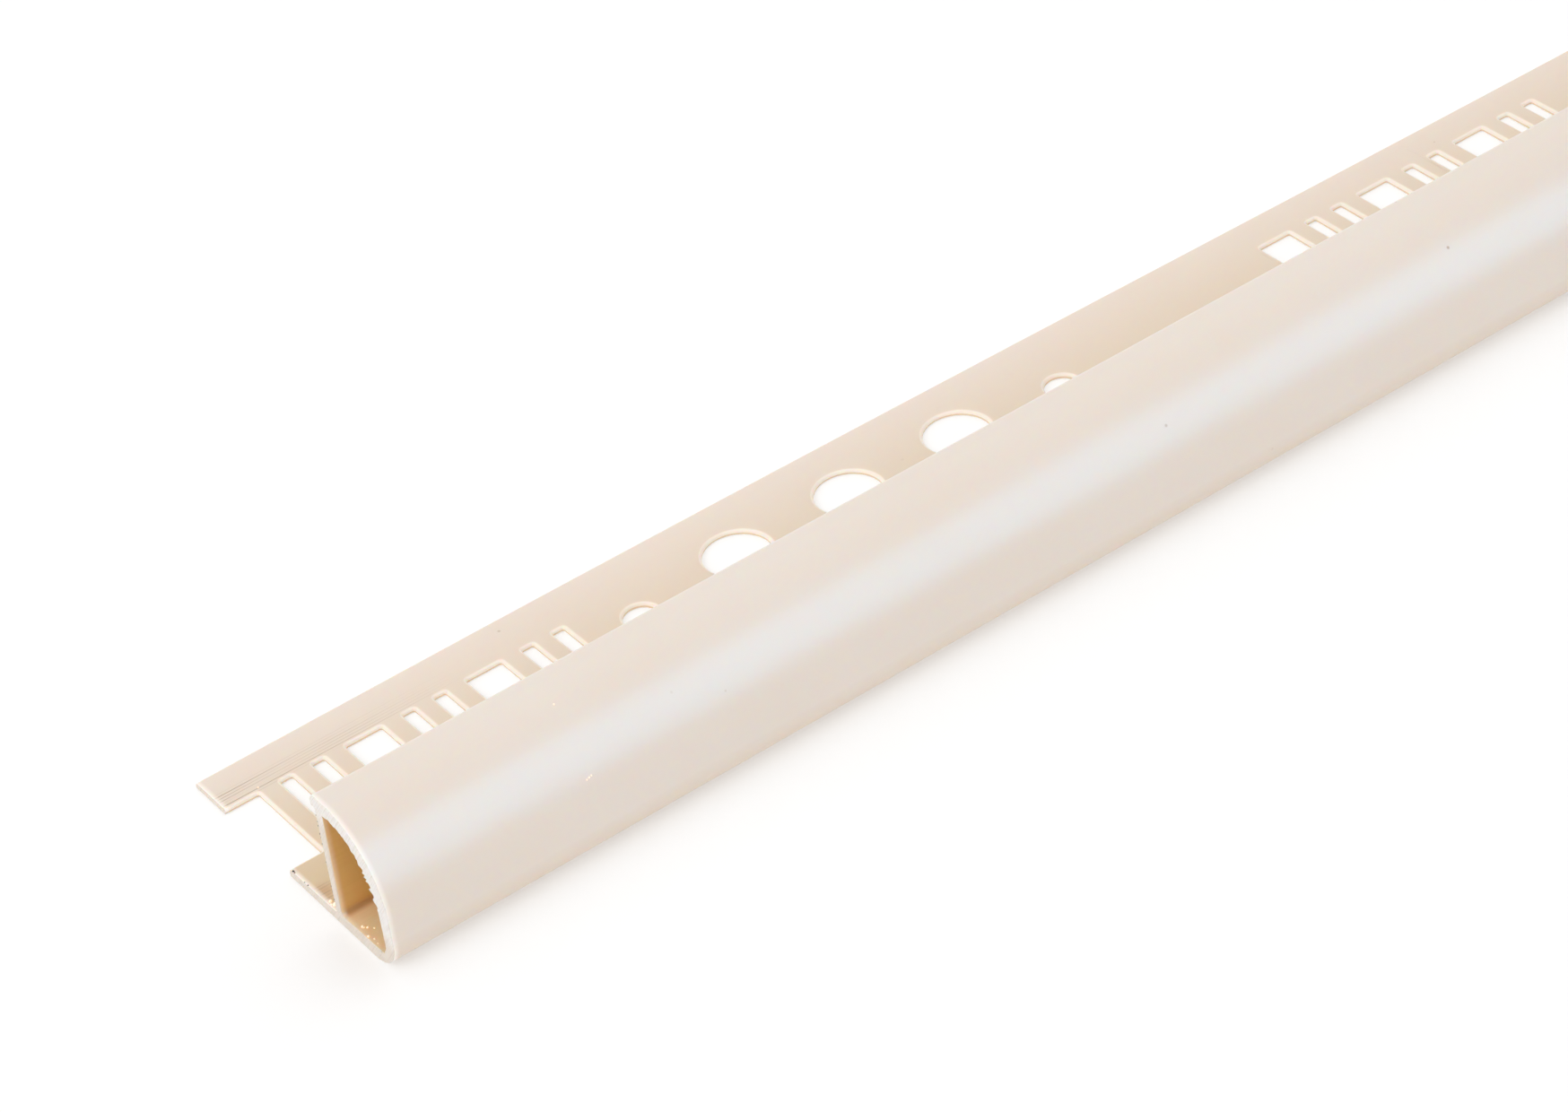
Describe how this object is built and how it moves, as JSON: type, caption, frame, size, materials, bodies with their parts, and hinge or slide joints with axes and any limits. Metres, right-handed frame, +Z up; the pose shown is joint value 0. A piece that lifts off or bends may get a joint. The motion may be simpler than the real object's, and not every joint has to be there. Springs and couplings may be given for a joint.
{
  "type": "tile trim",
  "caption": "Length of rounded-edge plastic tile trim with a hollow quarter-round face, a lip over the tile's edge and a thin perforated anchoring flange.",
  "frame": {"origin": "middle of the flat base, at half the length and half the width", "axes": "+X along the length, +Y from the rounded face towards the flange's tip, +Z up from the base"},
  "size_m": [1.25, 0.0254, 0.011],
  "materials": {
    "cream_pvc": "satin, as it leaves the extrusion die"
  },
  "bodies": {
    "root": {"tile_trim": "cream_pvc"}
  },
  "joints": []
}
